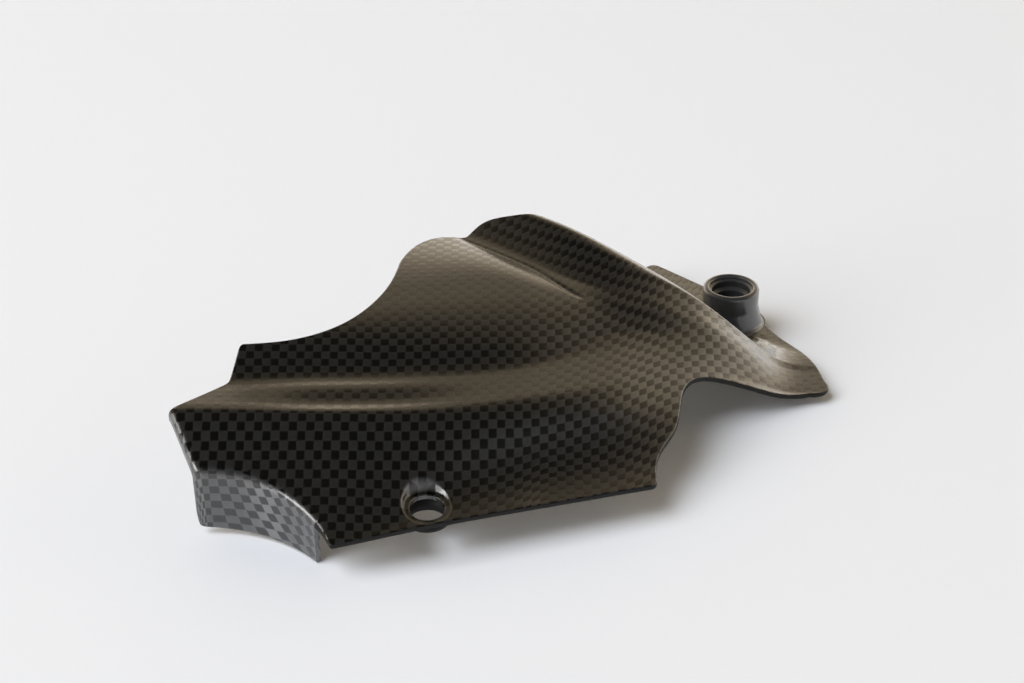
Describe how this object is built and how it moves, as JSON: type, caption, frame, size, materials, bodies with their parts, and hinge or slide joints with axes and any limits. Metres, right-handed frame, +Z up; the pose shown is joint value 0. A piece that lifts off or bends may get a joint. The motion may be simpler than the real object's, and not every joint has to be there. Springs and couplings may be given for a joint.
{
  "type": "sprocket cover",
  "caption": "Moulded carbon-fibre sprocket cover with a stepped front, domed top, rear ridge, turned-down side wall, recessed front screw seat and a rear flange with a screw boss.",
  "frame": {"origin": "on the axis of the rear screw boss, at the underside of its seat pad", "axes": "+X along the front crease towards the rounded tip of the rear flange, +Y to the back, +Z up, away from the engine"},
  "size_m": [0.1605, 0.1454, 0.0374],
  "materials": {
    "carbon_laminate": "clear-coated plain weave"
  },
  "bodies": {
    "root": {"cover": "carbon_laminate"}
  },
  "joints": []
}
